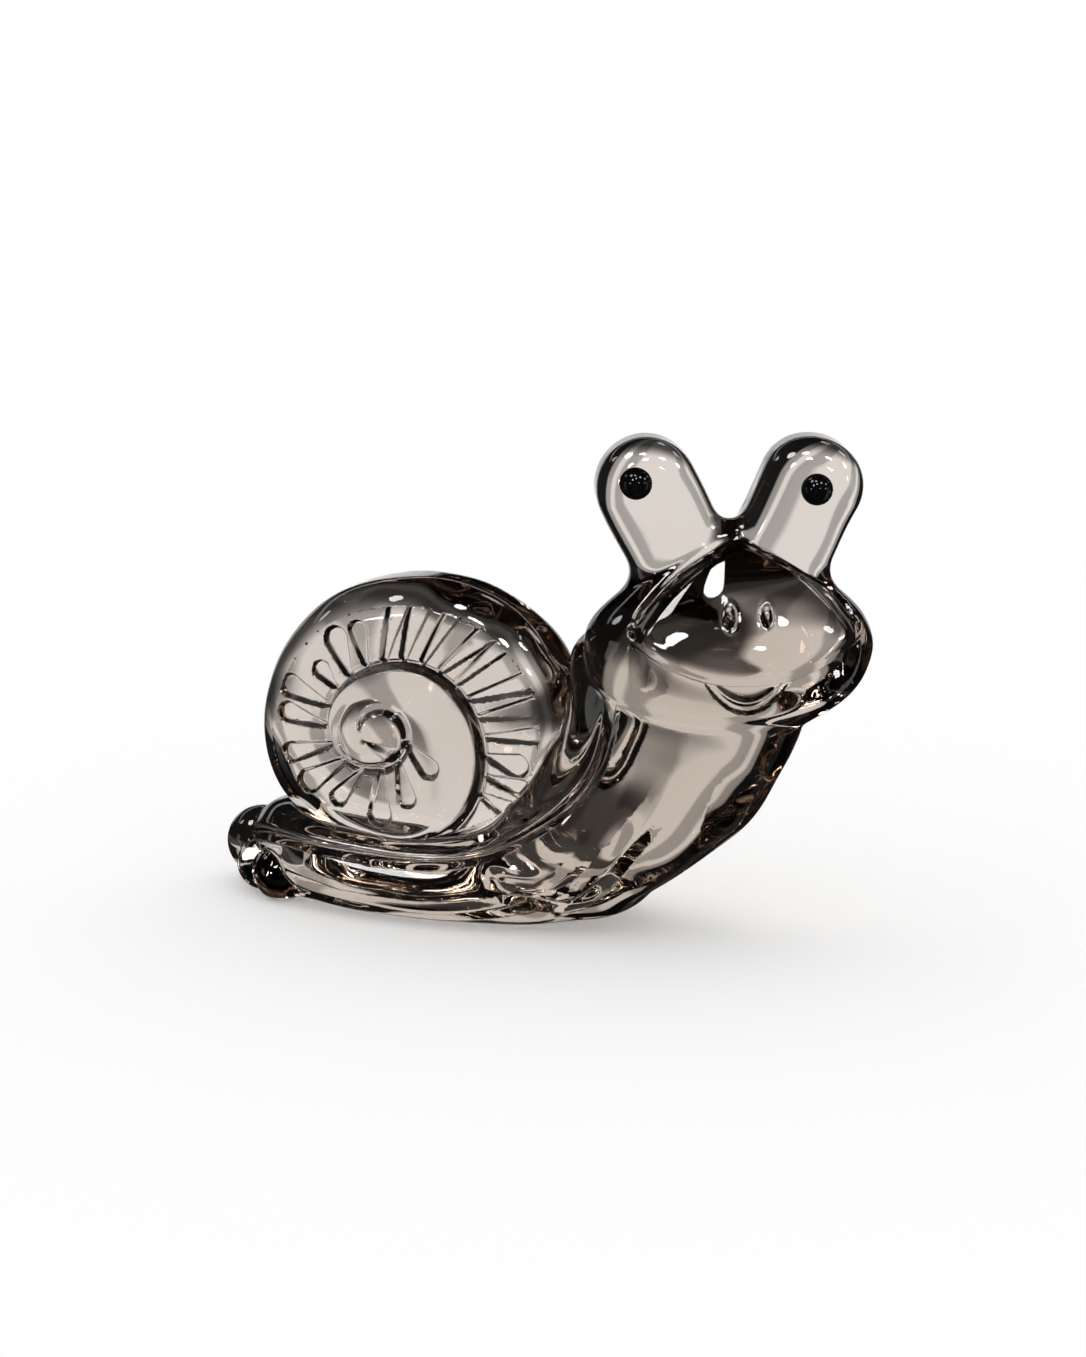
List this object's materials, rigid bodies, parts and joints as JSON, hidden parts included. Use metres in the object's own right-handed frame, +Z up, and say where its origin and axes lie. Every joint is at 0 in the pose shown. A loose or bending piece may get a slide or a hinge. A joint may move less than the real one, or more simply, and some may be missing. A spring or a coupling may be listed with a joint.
{
  "type": "snail figurine",
  "caption": "Solid smoke-glass snail with a coiled, fluted shell, a wide smiling head on a raised neck and two bead eyes on leaning stalks.",
  "frame": {"origin": "middle of the figurine's outline seen from above, on the plane that its sole stands on", "axes": "+X along the foot from the tail towards the head, +Z up, and -Y out of the shell's face that the snail's face also looks over"},
  "size_m": [0.1698, 0.0556, 0.1229],
  "materials": {
    "smoke_glass": "fire-polished, glossy",
    "black_bead": "glossy"
  },
  "bodies": {
    "root": {"foot_and_neck": "smoke_glass", "shell": "smoke_glass", "head": "smoke_glass", "left_eye_stalk": "smoke_glass", "right_eye_stalk": "smoke_glass", "left_eye": "black_bead", "right_eye": "black_bead"}
  },
  "joints": []
}
